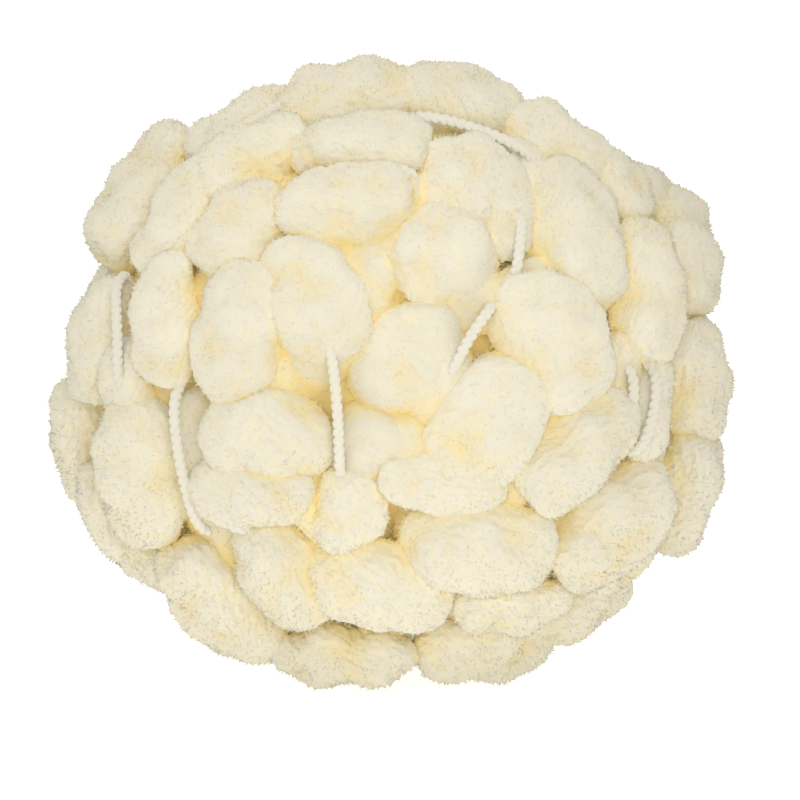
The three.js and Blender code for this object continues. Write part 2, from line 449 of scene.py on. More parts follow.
    def crowding(self, points: Array) -> Array:
        """Tells how much of the light above each point the puffs take, from 0 to 1.

        It is the share of the feelers whose ends are inside a puff, or the share that the
        depth under the skin gives, if that is more.

        Args:
            points: Points on the pile, m x 3, mm.

        Returns:
            A share for each point.
        """
        out = self.form.outward(points)
        side, fore = square_to(out, np.array([0.3, 1.0, 0.2]))
        blocked = self.cover(points + STRAIGHT_FEELER * out).astype(float)
        for reach, lean in LEANING_FEELERS:
            for bearing in FEELER_BEARINGS:
                a = math.radians(bearing + lean)
                flat = side * math.cos(a) + fore * math.sin(a)
                way = out * math.cos(math.radians(lean)) + flat * math.sin(math.radians(lean))
                blocked += self.cover(points + reach * way)
        blocked /= 1 + len(LEANING_FEELERS) * len(FEELER_BEARINGS)
        depth = (1 - np.linalg.norm(points / self.form.skin, axis=1)) * self.form.skin.mean()
        return np.maximum(blocked, np.clip((depth - DARK_FROM) / DARK_OVER, 0, 1))


@dataclass
class Surface:
    """A closed triangle mesh with what its material reads from it."""

    points: Array  # points in the ball's frame, m x 3, mm
    faces: Array  # triangles, k x 3
    normals: Array  # unit normals that the light sees, m x 3
    crowd: Array  # how crowded each point is, from 0 to 1; the pile paints its yellow shade colour from it
    tone: Array  # unevenness of the tone at each point, random and with painted shade that darkens lump hollows, from -1 to 1

    @classmethod
    def joined(cls, parts: Sequence[Surface]) -> Surface:
        """Returns one surface of several, with the faces numbered on."""
        starts = np.cumsum([0] + [len(p.points) for p in parts[:-1]])
        rows = [(p.points, p.faces + at, p.normals, p.crowd, p.tone) for p, at in zip(parts, starts)]
        return cls(*(np.concatenate(column) for column in zip(*rows)))


def closed_grid(rows: int, columns: int, finer: float = 0.0) -> tuple[Array, Array, Array]:
    """Numbers a closed surface of two angles: pole, rings, pole.

    Args:
        rows: Steps from pole to pole.
        columns: Steps round.
        finer: How much finer than even the steps are at a bearing of 90 degrees: the
            bearing is s + finer * cos(s) for even steps of s.

    Returns:
        The polar angle and the bearing of each point, and the triangles, facing out where
        x goes with the bearing's cosine, z with its sine and y falls as the polar
        angle's cosine rises.
    """
    polar = np.linspace(0, math.pi, rows + 1)[1:-1]
    bearing = np.linspace(0, 2 * math.pi, columns, endpoint=False)
    bearing = bearing + finer * np.cos(bearing)
    t = np.concatenate([[0], np.repeat(polar, columns), [math.pi]])
    phi = np.concatenate([[0], np.tile(bearing, rows - 1), [0]])
    ring = 1 + np.arange(rows - 1)[:, None] * columns + np.arange(columns)[None]
    after = np.roll(ring, -1, axis=1)
    a, b, c, d = ring[:-1], ring[1:], after[:-1], after[1:]
    sides = np.stack([np.stack([a, b, c], -1), np.stack([b, d, c], -1)]).reshape(-1, 3)
    first = np.stack([np.zeros(columns, int), ring[0], after[0]], -1)
    last = np.stack([np.full(columns, len(t) - 1), after[-1], ring[-1]], -1)
    return t, phi, np.concatenate([sides, first, last])


def between(wanted: Array, known: Array) -> Array:
    """Finds the weights that fill in values between known places, along straight lines.

    Args:
        wanted: Places to find values for.
        known: Places with known values, in rising order.

    Returns:
        One row of weights of the known values for each wanted place.
    """
    return np.stack([np.interp(wanted, known, one) for one in np.eye(len(known))], axis=1)


def point_normals(points: Array, faces: Array) -> Array:
    """Returns each point's normal: the mean of its faces' normals, weighted by area."""
    a, b, c = (points[faces[:, i]] for i in range(3))
    face_normals = np.cross(b - a, c - a)
    total = np.zeros_like(points)
    for corner in range(3):
        for axis in range(3):
            total[:, axis] += np.bincount(faces[:, corner], face_normals[:, axis], len(points))
    return unit(total)


def waves(points: Array, length: float, number: int, rng: Random) -> Array:
    """Soft lumps in space: the mean of sine waves in random directions.

    Args:
        points: Points, any shape x 3, mm.
        length: The mean distance between lumps, mm.
        number: How many waves.
        rng: The source of chance.

    Returns:
        Values of about -1 to 1 for each point.
    """
    ways = unit(rng.normal(size=(number, 3)))
    ways = ways * 2 * math.pi / (length * rng.uniform(0.7, 1.4, (number, 1)))
    starts = rng.uniform(0, 2 * math.pi, number)
    return np.sin(points @ ways.T + starts).sum(axis=-1) / math.sqrt(number)


def lumps(points: Array, rows: Rows, rng: Random) -> Array:
    """Adds up lumps of several sizes.

    Args:
        points: Points, any shape x 3, mm.
        rows: Rows of height, mm, distance between lumps, mm, and number of waves.
        rng: The source of chance.

    Returns:
        The height at each point, mm.
    """
    return sum(height * waves(points, length, number, rng) for height, length, number in rows)


@dataclass(frozen=True)
class Pile:
    """Short dense pile: every point of a fine mesh is drawn out to its own height."""

    long: float = 0.75  # height of the longest pile over its body, mm
    clump: float = 1.9  # distance between the clumps in which the pile stands, mm
    chance: float = 0.35  # the share of the height that differs from point to point
    lean: float = 0.1  # how far its tips lean at random, as a share of its height
    crisp: float = 0.3  # how much the light sees of single tips, against the soft body below

    def raised(self, points: Array, normals: Array, room: Array, rng: Random) -> Array:
        """Raises points to pile height: partly by chance and the rest by clumps.

        Args:
            points: Points of the body, m x 3, mm.
            normals: The body's normals there.
            room: The share of its height that the pile has room for at each point.
            rng: The source of chance.

        Returns:
            The raised points.
        """
        clumps = np.clip(0.5 + 0.4 * waves(points, self.clump, 14, rng), 0, 1)
        single = rng.uniform(size=len(points))
        height = self.long * (self.chance * single + (1 - self.chance) * clumps)
        way = normals + self.lean * rng.normal(size=points.shape)
        return points + way * (height * room)[:, None]


@dataclass(frozen=True)
class LooseFibres:
    """Loose tips and small locks that stand off the pile, as slim closed pyramids."""

    density: float = 0.74  # locks for each square mm of the pile
    long: float = 1.1  # a lock's mean length, mm
    wide: float = 0.5  # its width at the root, mm
    sunk: float = 0.3  # how deep its root sits in the pile, mm
    lean: float = 0.7  # how far locks lean at random, as a share of their length
    turned: float = 1.8  # how much the light sees of a lock's own sides, against the body's
    # how much longer locks are where they cross over to the next puff, as a share of
    # their length
    reach: float = 0.9
    mottle: float = 0.7  # how much their tones differ
    free: float = 0.6  # how far over the pile a lock has to be clear of other puffs, mm
    hidden: float = 0.9  # the crowding from which on no lock shows

    def grown(self, body: Surface, owners: Array, puffs: Puffs, rng: Random) -> Surface:
        """Grows locks on a body, where no puff covers it.

        Roots are spread evenly by area: a running sum of the triangles' areas is read
        at random places, and each root is a random point of its triangle.

        Args:
            body: What the locks grow on.
            owners: The number of the puff of each of its triangles.
            puffs: All the puffs.
            rng: The source of chance.

        Returns:
            The locks' surface.
        """
        a, b, c = (body.points[body.faces[:, i]] for i in range(3))
        area = np.linalg.norm(np.cross(b - a, c - a), axis=1) / 2
        total = np.cumsum(area)
        number = int(total[-1] * self.density)
        pick = np.searchsorted(total, rng.uniform(0, total[-1], number))
        pick = np.minimum(pick, len(area) - 1)
        corner = body.faces[pick, 0]
        share = np.sort(rng.uniform(size=(number, 2)), axis=1)
        roots = a[pick] + share[:, :1] * (b - a)[pick] + (1 - share[:, 1:]) * (c - a)[pick]
        clear = ~puffs.cover(roots + self.free * body.normals[corner], 0, owners[pick])
        shown = clear & (body.crowd[corner] < self.hidden)
        return self._pyramids(roots[shown], body, corner[shown], rng)

    def _pyramids(self, roots: Array, body: Surface, near: Array, rng: Random) -> Surface:
        """Builds the pyramids: three root corners round each way, and a tip.

        Args:
            roots: Roots, n x 3, mm.
            body: What the locks grow on.
            near: The number of a corner of each root's triangle.
            rng: The source of chance.

        Returns:
            The locks' surface.
        """
        number = len(roots)
        normals, crowd = body.normals[near], body.crowd[near]
        way = unit(normals + self.lean * rng.normal(size=(number, 3)))
        side, fore = square_to(way, rng.normal(size=(number, 3)))
        long = self.long * rng.uniform(0.6, 1.25, (number, 1)) * (1 + self.reach * crowd[:, None])
        spokes = [side * math.cos(a) + fore * math.sin(a) for a in np.radians([0, 120, 240])]
        ring = [roots - self.sunk * way + self.wide / 2 * spoke for spoke in spokes]
        points = np.stack([*ring, roots + long * way], axis=1).reshape(-1, 3)
        faces = copied(np.array([[0, 1, 3], [1, 2, 3], [2, 0, 3], [0, 2, 1]]), 4, number)
        sides = [unit(normals + self.turned * spoke) for spoke in spokes]
        seen = np.stack([*sides, normals], axis=1).reshape(-1, 3)
        tone = body.tone[near] + rng.uniform(-self.mottle, self.mottle, number)
        return Surface(points, faces, seen, np.repeat(crowd, 4), np.repeat(tone, 4))


@dataclass(frozen=True)
class PuffBody:
    """The soft body of a puff: a blunt oval turned round the cord, lumpy and uneven."""

    rows: int = 44  # steps along the cord
    columns: int = 52  # steps round it
    finer: float = 0.4  # how much finer the steps round are on the open side
    inset: float = 0.7  # how far the body lies inside the puff's size, for its pile, mm
    taper: float = 0.08  # how much thicker one end is than the middle at most, as a share
    bend: float = 1.5  # how far the middle stands off to one side at most, mm
    # rows of the lumps' height, mm, distance, mm, and number of waves
    lumps: Rows = ((1.0, 14.0, 9), (0.15, 5.0, 12))
    tallest: float = 1.1  # the most that they stand out, mm
    apart: float = 200.0  # how far off at most a puff reads its own lumps in space, mm
    # how much the light sees of the whole ball, against the puff, where the pile is
    # most crowded; on open pile it is half of that
    melt: float = 2.5
    own_tone: float = 0.5  # how much the puffs' tones differ
    lump_shade: float = 0.3  # painted shade: how much lighter the tone makes lumps than hollows
    pile: Pile = field(default_factory=Pile)  # the pile that stands on the body

    def surface(self, puffs: Puffs, every: Puffs, rng: Random) -> Surface:
        """Makes the bodies of a set of puffs, with their pile.

        On unit size the radius is sin(t) ^ blunt at -cos(t) along the cord. Each puff is
        tapered, bent by bend * (along^2 - 0.4) and moved out and in by lumps. The pile
        gets shorter towards the poles, where 3 * sin(t) is under 1.

        Args:
            puffs: The puffs to make.
            every: All the puffs.
            rng: The source of chance.

        Returns:
            One surface of all the bodies, with the faces in the puffs' order.
        """
        t, phi, faces = closed_grid(self.rows, self.columns, self.finer)
        radius = np.sin(t) ** Puffs.BLUNT
        radius[[0, -1]] = 0
        shape = np.stack([radius * np.cos(phi), -np.cos(t), radius * np.sin(phi)], axis=1)
        number = len(puffs.middles)
        halves = (puffs.halves - self.inset)[:, None]
        local = shape[None] * halves
        along = shape[None, :, 1]
        local[..., ::2] *= (1 + rng.uniform(-self.taper, self.taper, (number, 1)) * along)[..., None]
        local[..., 0] += rng.uniform(-self.bend, self.bend, (number, 1)) * (along**2 - 0.4)
        out = unit(shape[None] / halves)
        place = local + rng.uniform(-self.apart, self.apart, (number, 1, 3))
        height = lumps(place, self.lumps, rng)
        local += out * np.minimum(height, self.tallest)[..., None]
        placed = puffs.middles[:, None] + np.einsum("nmi,nij->nmj", local, puffs.axes)
        points = placed.reshape(-1, 3)
        faces = copied(faces, len(t), number)
        smooth = point_normals(points, faces)
        room = np.tile(np.minimum(3 * np.sin(t), 1), number)
        raised = self.pile.raised(points, smooth, room, rng)
        crowded = self._crowd(every, placed)
        melted = (self.melt * (0.5 + 0.5 * crowded))[:, None] * puffs.form.outward(points)
        normals = unit(smooth + self.pile.crisp * point_normals(raised, faces) + melted)
        # The tone: random for each puff, plus painted shade that makes the lumps lighter and their
        # hollows darker.
        tone = np.repeat(rng.uniform(-self.own_tone, self.own_tone, number), len(t))
        return Surface(raised, faces, normals, crowded, tone + self.lump_shade * height.reshape(-1))

    def _crowd(self, every: Puffs, placed: Array) -> Array:
        """Measures the crowding at every second point each way, and fills in between.

        Args:
            every: All the puffs.
            placed: The bodies' points, puffs x points x 3, mm.

        Returns:
            The crowding at each point, in one row.
        """
        number = len(placed)
        rings = placed[:, 1:-1].reshape(number, self.rows - 1, self.columns, 3)
        row_at = np.linspace(0, self.rows - 2, self.rows // 2).round().astype(int)
        column_at = np.arange(0, self.columns, 2)
        few = rings[:, row_at][:, :, column_at]
        known = every.crowding(few.reshape(-1, 3)).reshape(few.shape[:3])
        down = between(np.arange(self.rows - 1), row_at)
        across = between(np.arange(self.columns), np.append(column_at, self.columns))
        across[:, 0] += across[:, -1]
        filled = np.einsum("ri,nij,cj->nrc", down, known, across[:, :-1]).reshape(number, -1)
        return np.concatenate([filled[:, :1], filled, filled[:, -1:]], axis=1).reshape(-1)


@dataclass(frozen=True)
class TwistedCord:
    """The carrier cord: two plies laid round each other, which shows as a row of beads."""

    wide: float = 2.9  # thickness over both plies, mm
    lay: float = 4.3  # length of one full turn of the twist, mm
    step: float = 0.36  # length of a mesh step, mm
    sides: int = 8  # sides of a ply
    melt: float = 1.6  # how much the light sees of the whole ball, against the ply
    ply_off: float = 0.13  # how far a ply's middle runs off the cord's, as a share of the thickness
    ply_half: float = 0.33  # half of a ply's thickness, as a share of the cord's
    bead: float = 0.12  # how much a ply swells and thins along the lay, as a share
    tip: float = 0.8  # length over which a ply is drawn in to a point at its ends, mm
    push: float = 0.3  # how far the cord is pushed out in one step, mm
    pushes: int = 30  # how many steps it is pushed at most
    give: float = 0.7  # how much smaller the puffs get under it, mm
    sink: float = 0.5  # how deep the cord lies in the pile, mm
    dive: float = 5.0  # how much deeper its ends lie, mm
    dive_over: float = 0.08  # the share of its length over which they come up
    under: float = 4.0  # how far under the skin a stretch of the back starts out, mm

    HINT = np.array([0.2, 0.1, 1.0])  # a direction that no stretch takes

    def route(self, puffs: Puffs, rows: Rows) -> list[Array]:
        """Lays stretches over the puffs: straight as seen from the front but for a bow.

        Args:
            puffs: All the puffs.
            rows: Rows of both ends, back and bow.

        Returns:
            One path of points for each row, mm.
        """
        paths = []
        for x0, y0, x1, y1, back, bow in rows:
            length = math.hypot(x1 - x0, y1 - y0)
            t = self._steps(length)
            swell = bow * np.sin(math.pi * t)
            right = x0 + (x1 - x0) * t + (y0 - y1) / length * swell
            up = y0 + (y1 - y0) * t + (x1 - x0) / length * swell
            path = puffs.form.under_skin(right, up, CORD_WIDE / 2, back)
            paths.append(self._laid_on(puffs, path))
        return paths

    def route_round(self, puffs: Puffs, rows: Rows) -> list[Array]:
        """Lays stretches over the puffs of the back, straight between two bearings.

        Args:
            puffs: All the puffs.
            rows: Rows of off and bearing at both ends, in degrees.

        Returns:
            One path of points for each row, mm.
        """
        paths = []
        for off0, bearing0, off1, bearing1 in np.radians(rows):
            t = self._steps(math.hypot(off1 - off0, bearing1 - bearing0) * puffs.form.width / 2)
            off = off0 + (off1 - off0) * t
            bearing = bearing0 + (bearing1 - bearing0) * t
            way = off_axis(np.sin(off), bearing, np.cos(off))
            paths.append(self._laid_on(puffs, way * (puffs.form.skin - self.under)))
        return paths

    def _steps(self, length: float) -> Array:
        """Returns places from 0 to 1 along a stretch of that length, a mesh step apart."""
        return np.linspace(0, 1, max(8, round(length / self.step)))

    def _laid_on(self, puffs: Puffs, path: Array) -> Array:
        """Pushes a path out of the puffs in small steps, evens it, and sinks it a little.

        An end dives by dive * exp(-share of the length / dive_over).

        Args:
            puffs: All the puffs.
            path: Points, m x 3, mm.

        Returns:
            The moved path.
        """
        out = puffs.form.outward(path)
        lift = np.zeros(len(path))
        for _ in range(self.pushes):
            lift += self.push * puffs.cover(path + out * lift[:, None], -self.give)
        kernel = np.hanning(2 * (len(path) // 5) + 3)
        kernel /= kernel.sum()
        half = len(kernel) // 2
        lift = np.convolve(np.pad(lift, half, mode="edge"), kernel, mode="valid")
        ends = np.minimum(np.linspace(0, 1, len(path)), np.linspace(1, 0, len(path)))
        dive = self.dive * np.exp(-ends / self.dive_over)
        return path + out * (lift - self.sink - dive)[:, None]

    def surface(self, form: BallForm, paths: Sequence[Array]) -> Surface:
        """Makes both plies of each path as closed tubes.

        A ply's middle goes round the path once for each lay, near the cord's middle, so
        that the plies melt into one row of knobs.

        Args:
            form: The ball.
            paths: The stretches' paths, mm.

        Returns:
            One surface of all the plies.
        """
        parts = []
        for path in paths:
            side, fore = square_to(unit(np.gradient(path, axis=0)), self.HINT)
            run = np.concatenate([[0], np.cumsum(np.linalg.norm(np.diff(path, axis=0), axis=1))])
            for ply in (0, math.pi):
                turn = (2 * math.pi * run / self.lay + ply)[:, None]
                spiral = side * np.cos(turn) + fore * np.sin(turn)
                middle = path + self.ply_off * self.wide * spiral
                parts.append(self._tube(middle, run))
        plies = Surface.joined(parts)
        plies.normals = unit(plies.normals + self.melt * form.outward(plies.points))
        return plies

    def _tube(self, middle: Array, run: Array) -> Surface:
        """Makes a closed round tube along a path, drawn in to a point at both ends.

        It swells and thins twice in each lay, as tight plies do where they cross.

        Args:
            middle: The tube's middle line, m x 3, mm.
            run: The length along the cord at each point, mm.

        Returns:
            The tube's surface.
        """
        side, fore = square_to(unit(np.gradient(middle, axis=0)), self.HINT)
        angle = np.linspace(0, 2 * math.pi, self.sides, endpoint=False)[:, None]
        rings = side[:, None] * np.cos(angle) + fore[:, None] * np.sin(angle)
        ends = np.minimum(run, run[-1] - run)
        bead = 1 + self.bead * np.cos(4 * math.pi * run / self.lay)
        drawn_in = np.sqrt(np.clip(ends / self.tip, 0.02, 1))
        radius = self.wide * self.ply_half * bead * drawn_in
        points = (middle[:, None] + rings * radius[:, None, None])[1:-1].reshape(-1, 3)
        points = np.concatenate([middle[:1], points, middle[-1:]])
        _, _, faces = closed_grid(len(middle) - 1, self.sides)
        faces = faces[:, ::-1]
        zeros = np.zeros(len(points))
        return Surface(points, faces, point_normals(points, faces), zeros, zeros)


class Nodes:
    """The node tree of a new material, empty at first.

    Attributes:
        material: The material.
    """

    def __init__(self, name: str) -> None:
        """Starts a material of that name."""
        self.material = bpy.data.materials.new(name)
        self.material.use_nodes = True
        self.material.node_tree.nodes.clear()

    def add(self, kind: str, settings: dict, links: dict) -> Node:
        """Adds a node with its settings and links.

        Args:
            kind: Blender's type name of the node, after "ShaderNode".
            settings: Socket names or numbers, or node properties, and their values.
            links: Input socket names or numbers, and the output sockets that feed them.

        Returns:
            The node.
        """
        tree = self.material.node_tree
        node = tree.nodes.new("ShaderNode" + kind)
        for name, value in settings.items():
            if isinstance(name, str) and hasattr(node, name):
                setattr(node, name, value)
            else:
                node.inputs[name].default_value = value
        for name, source in links.items():
            tree.links.new(source, node.inputs[name])
        return node

    def read(self, label: str) -> Socket:
        """Returns what the mesh holds under that label."""
        return self.add("Attribute", {"attribute_name": label}, {}).outputs["Fac"]

    def noise(self, size: float, detail: float, roughness: float = 0.6) -> Socket:
        """Returns noise in the piece's own space, its patches so many mm large."""
        place = self.add("TexCoord", {}, {}).outputs["Object"]
        look = {"Scale": 1 / (size * MM), "Detail": detail, "Roughness": roughness}
        return self.add("TexNoise", look, {"Vector": place}).outputs["Fac"]

    def mapped(self, value: Socket, ranges: dict) -> Socket:
        """Returns a value mapped from one range to another."""
        return self.add("MapRange", ranges, {"Value": value}).outputs["Result"]

    def bump(self, height: Socket, strength: float) -> Socket:
        """Returns the normal over bumps of that strength, 0.2 mm high."""
        look = {"Strength": strength, "Distance": 0.2 * MM}
        return self.add("Bump", look, {"Height": height}).outputs["Normal"]

    def shown(self, shader: Node) -> Material:
        """Shows a shader and returns the material."""
        self.add("OutputMaterial", {}, {"Surface": shader.outputs[0]})
        return self.material


@dataclass(frozen=True)
class PolyesterPile:
    """Brushed polyester pile: matte, milky and soft, as light goes a little way into it.

    Between puffs the light has gone through more pile, so it is yellower there: this shade is painted
    into the colour from the crowding, in a yellow light enough to offset the darker shading there.
    """

    lit: str = "#F1EBD5"  # colour of the open pile
    deep: str = "#FFE8A4"  # painted shade: colour of the crowded pile between puffs and of deep turns, lightened to offset the darker shading there
    fibre: float = 0.8  # size of the fibre clumps that show in the bump, mm
    tuft: float = 1.8  # distance between the tufts of a noise, with painted shade, a yellower tint, in the hollows between them, mm
    mottle: float = 6.0  # size of the patches that are a little yellower, mm

    def fibres(self, nodes: Nodes, links: dict) -> Node:
        """Adds the pile's shader, coloured with painted shade from its crowding and from tuft
        hollows, with random patches, and with its tone.

        Args:
            nodes: The tree to add it to.
            links: What else feeds the shader.

        Returns:
            The shader.
        """
        # Painted shade: crowded pile, between puffs and in deep turns, is mixed towards the yellow
        # shade colour.
        crowded = {"interpolation_type": "SMOOTHSTEP", "From Min": 0.05, "From Max": 0.75}
        deep = nodes.mapped(nodes.read("crowd"), crowded)
        # Random patches add a little of the yellow at random; the hollows of a tuft noise add more
        # painted shade.
        patches = {"From Min": 0.5, "From Max": 0.7, "To Max": 0.2}
        hollow_shade = {"From Min": 0.5, "From Max": 0.75, "To Max": 0.3}
        plus = {"operation": "ADD", "use_clamp": True}
        for size, detail, ranges in ((self.mottle, 3.0, patches), (self.tuft, 2.0, hollow_shade)):
            more = nodes.mapped(nodes.noise(size, detail), ranges)
            deep = nodes.add("Math", plus, {0: deep, 1: more}).outputs[0]
        colours = {"data_type": "RGBA", 6: linear(self.lit), 7: linear(self.deep)}
        colour = nodes.add("Mix", colours, {0: deep}).outputs[2]
        # The tone, random and with painted lump shade, sets how light the colour is.
        tones = {"From Min": -1.5, "From Max": 1.5, "To Min": 0.92, "To Max": 1.05}
        tone = nodes.mapped(nodes.read("tone"), tones)
        toned = nodes.add("HueSaturation", {}, {"Color": colour, "Value": tone}).outputs["Color"]
        look = {"Roughness": 0.95, "Specular IOR Level": 0.15}
        return nodes.add("BsdfPrincipled", look, {"Base Color": toned, **links})

    def material(self) -> Material:
        """Builds the material."""
        nodes = Nodes("polyester_chenille_pile")
        normal = nodes.bump(nodes.noise(self.fibre, 2.0), 0.2)
        return nodes.shown(self.fibres(nodes, {"Normal": normal}))


@dataclass(frozen=True)
class PileTips(PolyesterPile):
    """Single tips of the same pile, too thin to shade anything: light passes them by."""

    def material(self) -> Material:
        """Builds the material: clear to every ray but the camera's."""
        nodes = Nodes("polyester_pile_tips")
        seen = nodes.add("LightPath", {}, {}).outputs["Is Camera Ray"]
        clear = nodes.add("BsdfTransparent", {}, {}).outputs[0]
        tip = self.fibres(nodes, {}).outputs[0]
        return nodes.shown(nodes.add("MixShader", {}, {0: seen, 1: clear, 2: tip}))


@dataclass(frozen=True)
class PolyesterPly:
    """Tightly twisted polyester plies: smoother than the pile, with a slight gloss."""

    colour: str = "#F0EAD6"  # colour of the thread
    filament: float = 0.5  # spacing of the filaments that show in the bump, mm

    def material(self) -> Material:
        """Builds the material."""
        nodes = Nodes("twisted_polyester_cord")
        normal = nodes.bump(nodes.noise(self.filament, 1.0, 0.5), 0.4)
        look = {
            "Base Color": linear(self.colour),
            "Roughness": 0.7,
            "Specular IOR Level": 0.35,
            "Sheen Weight": 0.15,
        }
        return nodes.shown(nodes.add("BsdfPrincipled", look, {"Normal": normal}))


class Stuff(Enum):
    """What a piece is made of."""

    PILE = PolyesterPile()
    TIPS = PileTips()
    CORD = PolyesterPly()


@dataclass(frozen=True)
class InnerTurns:
    """The turns further in, whose puffs show through the gaps between the outer ones."""

    number: int = 80  # how many puffs there are
    depth: float = 19.0  # how far their middles lie under the skin, mm
    turn: float = 35.0  # how far they turn out of rings round the axis at most, degrees
    long_stray: float = 3.0  # how much their lengths differ, mm
    wide_stray: float = 2.0  # how much their widths differ, mm
    body: PuffBody = field(default_factory=lambda: PuffBody(rows=20, columns=24))  # their soft bodies

    def puffs(self, form: BallForm) -> Puffs:
        """Spreads the puffs evenly under the skin, by the golden angle.

        Args:
            form: The ball.

        Returns:
            The placed puffs.
        """
        n = np.arange(self.number)
        high = 1 - 2 * (n + 0.5) / self.number
        bearing = n * math.pi * (3 - math.sqrt(5))
        middles = off_axis(np.sqrt(1 - high**2), bearing, high) * (form.skin - self.depth)
        long = PUFF_LONG + self.long_stray * stray(n, 7)
        wide = PUFF_WIDE + self.wide_stray * stray(n, 8)
        return Puffs.round_axis(form, middles, bearing, self.turn * stray(n, 6), long, wide)


@dataclass(frozen=True)
class PackedCore:
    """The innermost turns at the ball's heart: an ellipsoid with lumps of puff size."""

    rows: int = 90  # mesh steps from pole to pole
    columns: int = 120  # mesh steps round
    depth: float = 20.0  # how far it lies under the skin, mm
    # rows of the lumps' height, mm, distance, mm, and number of waves
    lumps: Rows = ((2.5, 22.0, 12), (0.5, 4.0, 12))

    def surface(self, puffs: Puffs, rng: Random) -> Surface:
        """Makes the core.

        Args:
            puffs: All the puffs.
            rng: The source of chance.

        Returns:
            The core's surface.
        """
        t, phi, faces = closed_grid(self.rows, self.columns)
        way = np.stack([np.sin(t) * np.cos(phi), -np.cos(t), np.sin(t) * np.sin(phi)], axis=1)
        points = way * (puffs.form.skin - self.depth)
        points += way * lumps(points, self.lumps, rng)[:, None]
        normals = point_normals(points, faces)
        # The core lies deep, so its crowding paints it mostly in the yellow shade colour.
        return Surface(points, faces, normals, puffs.crowding(points), np.zeros(len(points)))


def put(name: str, data: bpy.types.ID) -> bpy.types.Object:
    """Puts a new object with that data into the scene."""
    item = bpy.data.objects.new(name, data)
    bpy.context.scene.collection.objects.link(item)
    return item


@dataclass
class YarnBall:
    """The wound ball: its puffs, the inner turns between them and the cord over them."""

    form: BallForm = field(default_factory=BallForm)  # the ball's outer form
    body: PuffBody = field(default_factory=PuffBody)  # the puffs' soft bodies
    locks: LooseFibres = field(default_factory=LooseFibres)  # the loose locks on all of them
    inner: InnerTurns = field(default_factory=InnerTurns)  # the turns further in
    core: PackedCore = field(default_factory=PackedCore)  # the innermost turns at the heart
    cord: TwistedCord = field(default_factory=TwistedCord)  # the carrier cord
    # the material of each stuff, once the ball is being built
    materials: dict[Stuff, Material] = field(default_factory=dict)

    def build(self) -> None:
        """Builds and dresses every piece of the ball."""
        rng = np.random.default_rng(SEED)
        self.materials = {stuff: stuff.value.material() for stuff in Stuff}
        fronts = {"rim_puffs": RIM_PUFFS, "upper_puffs": UPPER_PUFFS, "lower_puffs": LOWER_PUFFS}
        outer = {name: Puffs.seen(self.form, rows) for name, rows in fronts.items()}
        number = 0
        for name, turns in ROUND_TURNS.items():
            outer[name] = Puffs.ringed(self.form, turns, number)
            number += sum(turn[1] for turn in turns)
        inner = self.inner.puffs(self.form)
        every = Puffs.joined([*outer.values(), inner])
        first = 0
        for name, puffs in outer.items():
            self._pile_piece(name, puffs, first, self.body, every, rng)
            first += len(puffs.middles)
        self._pile_piece("inner_turns", inner, first, self.inner.body, every, rng)
        self._show("packed_core", {Stuff.PILE: self.core.surface(every, rng)})
        for name, route, rows in (
            ("front_cord", self.cord.route, FRONT_CORDS),
            ("back_cord", self.cord.route_round, BACK_CORDS),
        ):
            self._show(name, {Stuff.CORD: self.cord.surface(self.form, route(every, rows))})

    def _pile_piece(
        self, name: str, puffs: Puffs, first: int, body: PuffBody, every: Puffs, rng: Random
    ) -> None:
        """Makes one piece of puffs with their pile.

        Args:
            name: The piece's name.
            puffs: Its puffs.
            first: The number of its first puff among all.
            body: How their bodies are made.
            every: All the puffs.
            rng: The source of chance.
        """
        bodies = body.surface(puffs, every, rng)
        number = len(puffs.middles)
        owners = first + np.repeat(np.arange(number), len(bodies.faces) // number)
        loose = self.locks.grown(bodies, owners, every, rng)
        self._show(name, {Stuff.PILE: bodies, Stuff.TIPS: loose})

    def _show(self, name: str, parts: dict[Stuff, Surface]) -> None:
        """Puts surfaces into the scene as one piece of the ball.

        Args:
            name: The piece's name.
            parts: Its surfaces in the ball's frame, by what they are made of.
        """
        mesh = bpy.data.meshes.new(name)
        surface = Surface.joined(list(parts.values()))
        number = len(surface.faces)
        mesh.vertices.add(len(surface.points))
        mesh.loops.add(3 * number)
        mesh.polygons.add(number)
        mesh.vertices.foreach_set("co", self.form.to_room(surface.points).astype(np.float32).ravel())
        mesh.loops.foreach_set("vertex_index", surface.faces.astype(np.int32).ravel())
        mesh.polygons.foreach_set("loop_start", np.arange(0, 3 * number, 3, dtype=np.int32))
        for label, values in (("crowd", surface.crowd), ("tone", surface.tone)):
            column = mesh.attributes.new(label, "FLOAT", "POINT").data
            column.foreach_set("value", values.astype(np.float32))
        stuffs = np.repeat(np.arange(len(parts)), [len(part.faces) for part in parts.values()])
        mesh.polygons.foreach_set("material_index", stuffs.astype(np.int32))
        mesh.update(calc_edges=True)
        mesh.polygons.foreach_set("use_smooth", np.ones(number, dtype=bool))
        mesh.normals_split_custom_set_from_vertices(self.form.tipped(surface.normals))
        for stuff in parts:
            mesh.materials.append(self.materials[stuff])
        piece = put(name, mesh)
        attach(piece, "root")
        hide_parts("yarn_ball")
        LOG.info("%s: %d triangles", name, number)


@dataclass(frozen=True)
class Softbox:
    """A round soft light that faces the ball."""

    name: str  # its name
    place: tuple[float, float, float]  # its middle, m
    size: float  # its width, m
    power: float  # its power, W

    def hang(self, aim: Vector) -> None:
        """Hangs the light up and turns it to the aim."""
        lamp = bpy.data.lights.new(self.name, "AREA")
        lamp.shape, lamp.size, lamp.energy = "DISK", self.size, self.power
        light = put(self.name, lamp)
        light.location = self.place
        light.rotation_euler = (aim - light.location).to_track_quat("-Z", "Y").to_euler()


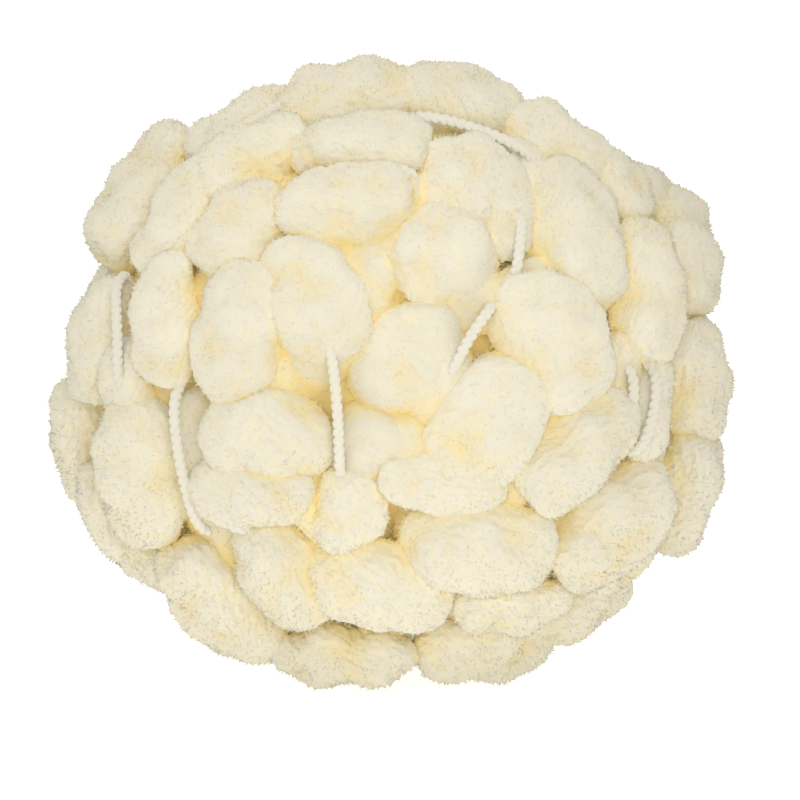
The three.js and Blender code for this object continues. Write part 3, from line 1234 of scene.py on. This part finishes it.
@dataclass(frozen=True)
class Studio:
    """A white table with soft light from above, in front and behind, and the camera."""

    aim: tuple[float, float, float] = (0.0, 0.0, 0.075)  # the ball's middle, m
    right_of_aim: float = 0.002  # how far right of it the camera looks, m
    under_aim: float = 0.0075  # how far under it the camera looks, m
    elevation: float = 15.0  # the camera's height above the horizon, degrees
    distance: float = 1.6  # from the aim to the camera, m
    lens: float = 282.0  # focal length, mm
    sensor: float = 36.0  # width of the picture in the camera, mm
    table_half: float = 6.0  # half of the table's width, m
    glow: float = 0.45  # how much whiter the camera sees the table than the ball does
    bounce: float = 0.25  # how much light the table gives besides what it reflects
    around: float = 0.45  # how bright the white surroundings are
    # the soft lights
    softboxes: tuple[Softbox, ...] = (
        Softbox("softbox_above", (-0.15, -0.2, 1.2), 1.0, 4.0),
        Softbox("softbox_front", (0.1, -1.9, 0.6), 1.2, 11.8),
        Softbox("softbox_behind", (-0.2, 1.7, 0.75), 1.5, 10.0),
    )

    def build(self) -> None:
        """Builds the table, the lights, the surroundings and the camera."""
        self._table()
        for softbox in self.softboxes:
            softbox.hang(Vector(self.aim))
        self._surroundings()
        self._camera()

    def _table(self) -> None:
        """Lays a large plain white table at z = 0."""
        nodes = Nodes("white_lacquered_board")
        seen = nodes.add("LightPath", {}, {}).outputs["Is Camera Ray"]
        look = {"operation": "MULTIPLY_ADD", 1: self.glow, 2: self.bounce}
        glow = nodes.add("Math", look, {0: seen}).outputs[0]
        look = {
            "Base Color": linear("#F4F4F4"),
            "Roughness": 0.9,
            "Specular IOR Level": 0.1,
            "Emission Color": linear("#FFFFFF"),
        }
        board = nodes.add("BsdfPrincipled", look, {"Emission Strength": glow})
        half = self.table_half
        mesh = bpy.data.meshes.new("table_top")
        corners = [(-half, -half, 0), (half, -half, 0), (half, half, 0), (-half, half, 0)]
        mesh.from_pydata(corners, [], [(0, 1, 2, 3)])
        mesh.materials.append(nodes.shown(board))
        put("table_top", mesh)

    def _surroundings(self) -> None:
        """Makes the surroundings plain white, and shows colours as they are."""
        world = bpy.data.worlds.new("white_surroundings")
        world.use_nodes = True
        background = world.node_tree.nodes["Background"].inputs
        background["Color"].default_value = linear("#FFFFFF")
        background["Strength"].default_value = self.around
        bpy.context.scene.world = world
        bpy.context.scene.view_settings.view_transform = "Standard"

    def _camera(self) -> None:
        """Sets the camera up at the picture's angle, level, and aimed past the ball."""
        rise = math.radians(self.elevation)
        back = Vector((0, -math.cos(rise), math.sin(rise)))
        up = Vector((0, math.sin(rise), math.cos(rise)))
        aim = Vector(self.aim) + self.right_of_aim * Vector((1, 0, 0)) - self.under_aim * up
        lens = bpy.data.cameras.new("picture_camera")
        lens.lens, lens.sensor_width = self.lens, self.sensor
        camera = put("picture_camera", lens)
        camera.location = aim + back * self.distance
        camera.rotation_euler = (-back).to_track_quat("-Z", "Y").to_euler()
        bpy.context.scene.camera = camera


def main() -> None:
    """Builds the ball and the studio round it."""
    logging.basicConfig(level=logging.INFO, format="%(name)s %(message)s")
    YarnBall().build()
    Studio().build()


if __name__ == "__main__":
    main()
